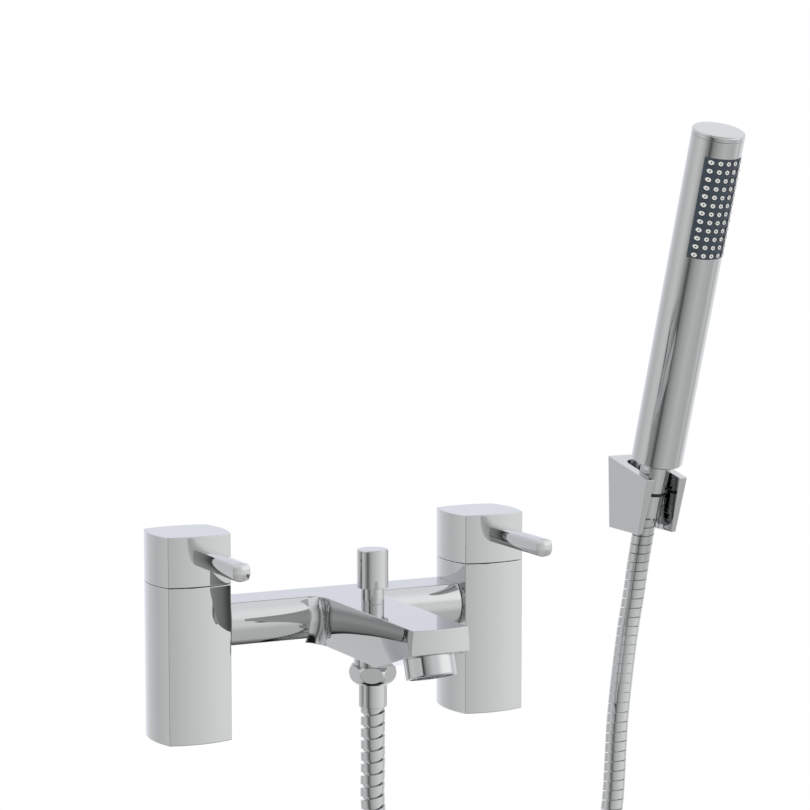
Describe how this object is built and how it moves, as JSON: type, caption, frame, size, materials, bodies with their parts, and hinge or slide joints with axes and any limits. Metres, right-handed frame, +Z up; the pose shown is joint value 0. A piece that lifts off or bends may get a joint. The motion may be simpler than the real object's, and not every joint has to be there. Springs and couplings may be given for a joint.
{
  "type": "bath shower mixer",
  "caption": "Deck mounted bath shower mixer with lever pillars, a flat bridge spout, a pull-up diverter, a ribbed hose and a stick handset in a wall bracket.",
  "frame": {"origin": "on the deck, midway between the centres of the two inlets", "axes": "+X along the bridge to the right as seen from the front, +Y back to the wall, +Z up"},
  "size_m": [0.3506, 0.1879, 0.6107],
  "materials": {
    "chrome": "polished chrome plate on brass",
    "hose_steel": "bright strip-wound steel",
    "brass": "bare machined brass",
    "steel": "plain steel screw",
    "rubber": "matte black rubber",
    "ceramic": "ground ceramic",
    "plastic": "moulded grey plastic",
    "spray_rubber": "slate grey soft rubber"
  },
  "bodies": {
    "mixer": {"left_pillar": "chrome", "left_base_seal": "rubber", "left_valve_seal": "rubber", "left_valve_body": "brass", "left_fixed_disc": "ceramic", "right_pillar": "chrome", "right_base_seal": "rubber", "right_valve_seal": "rubber", "right_valve_body": "brass", "right_fixed_disc": "ceramic", "bridge_body": "chrome", "diverter_collar": "chrome", "diverter_ring": "rubber", "shower_outlet": "chrome", "aerator_housing": "chrome", "aerator_insert": "plastic", "aerator_washer": "rubber", "hose_nut": "chrome", "hose_washer": "rubber", "hose_ferrule": "chrome", "hose_drop": "hose_steel", "hose_coil": "hose_steel", "hose_rise": "hose_steel", "hose_tie": "rubber", "wall_bracket": "chrome"},
    "left_handle": {"left_cap": "chrome", "left_lever": "chrome", "left_spindle": "brass", "left_moving_disc": "ceramic", "left_spindle_ring": "rubber", "left_grub_screw": "steel"},
    "right_handle": {"right_cap": "chrome", "right_lever": "chrome", "right_spindle": "brass", "right_moving_disc": "ceramic", "right_spindle_ring": "rubber", "right_grub_screw": "steel"},
    "diverter": {"diverter_rod": "brass", "diverter_plug": "brass", "diverter_lower_seal": "rubber", "diverter_upper_seal": "rubber", "diverter_knob": "chrome"},
    "hose_end": {"hose_sleeve": "chrome"},
    "handset": {"swivel_ring_seal": "rubber", "swivel_nut": "chrome", "swivel_washer_seal": "rubber", "handset_inlet": "brass", "handset_waterway": "plastic", "handset_tube": "chrome", "handset_end_cap": "chrome", "spray_chamber": "plastic", "spray_pad": "spray_rubber"}
  },
  "joints": [
    {"name": "left_handle_turn", "type": "hinge", "parent": "mixer", "child": "left_handle", "pos_m": [-0.09, 0, 0.1], "axis": [0, 0, -1], "range_deg": [0, 90]},
    {"name": "right_handle_turn", "type": "hinge", "parent": "mixer", "child": "right_handle", "pos_m": [0.09, 0, 0.1], "axis": [0, 0, 1], "range_deg": [0, 90]},
    {"name": "diverter_lift", "type": "slide", "parent": "mixer", "child": "diverter", "axis": [0, 0, 1], "range_m": [0, 0.0065]},
    {"name": "handset_lift", "type": "slide", "parent": "mixer", "child": "hose_end", "axis": [0, -0.308, 0.9514], "range_m": [0, 0.06], "deforming": ["hose_rise"]},
    {"name": "handset_spin", "type": "hinge", "parent": "hose_end", "child": "handset", "pos_m": [0.2236, 0.02415, 0.13228], "axis": [0, -0.308, 0.9514], "continuous": true}
  ]
}
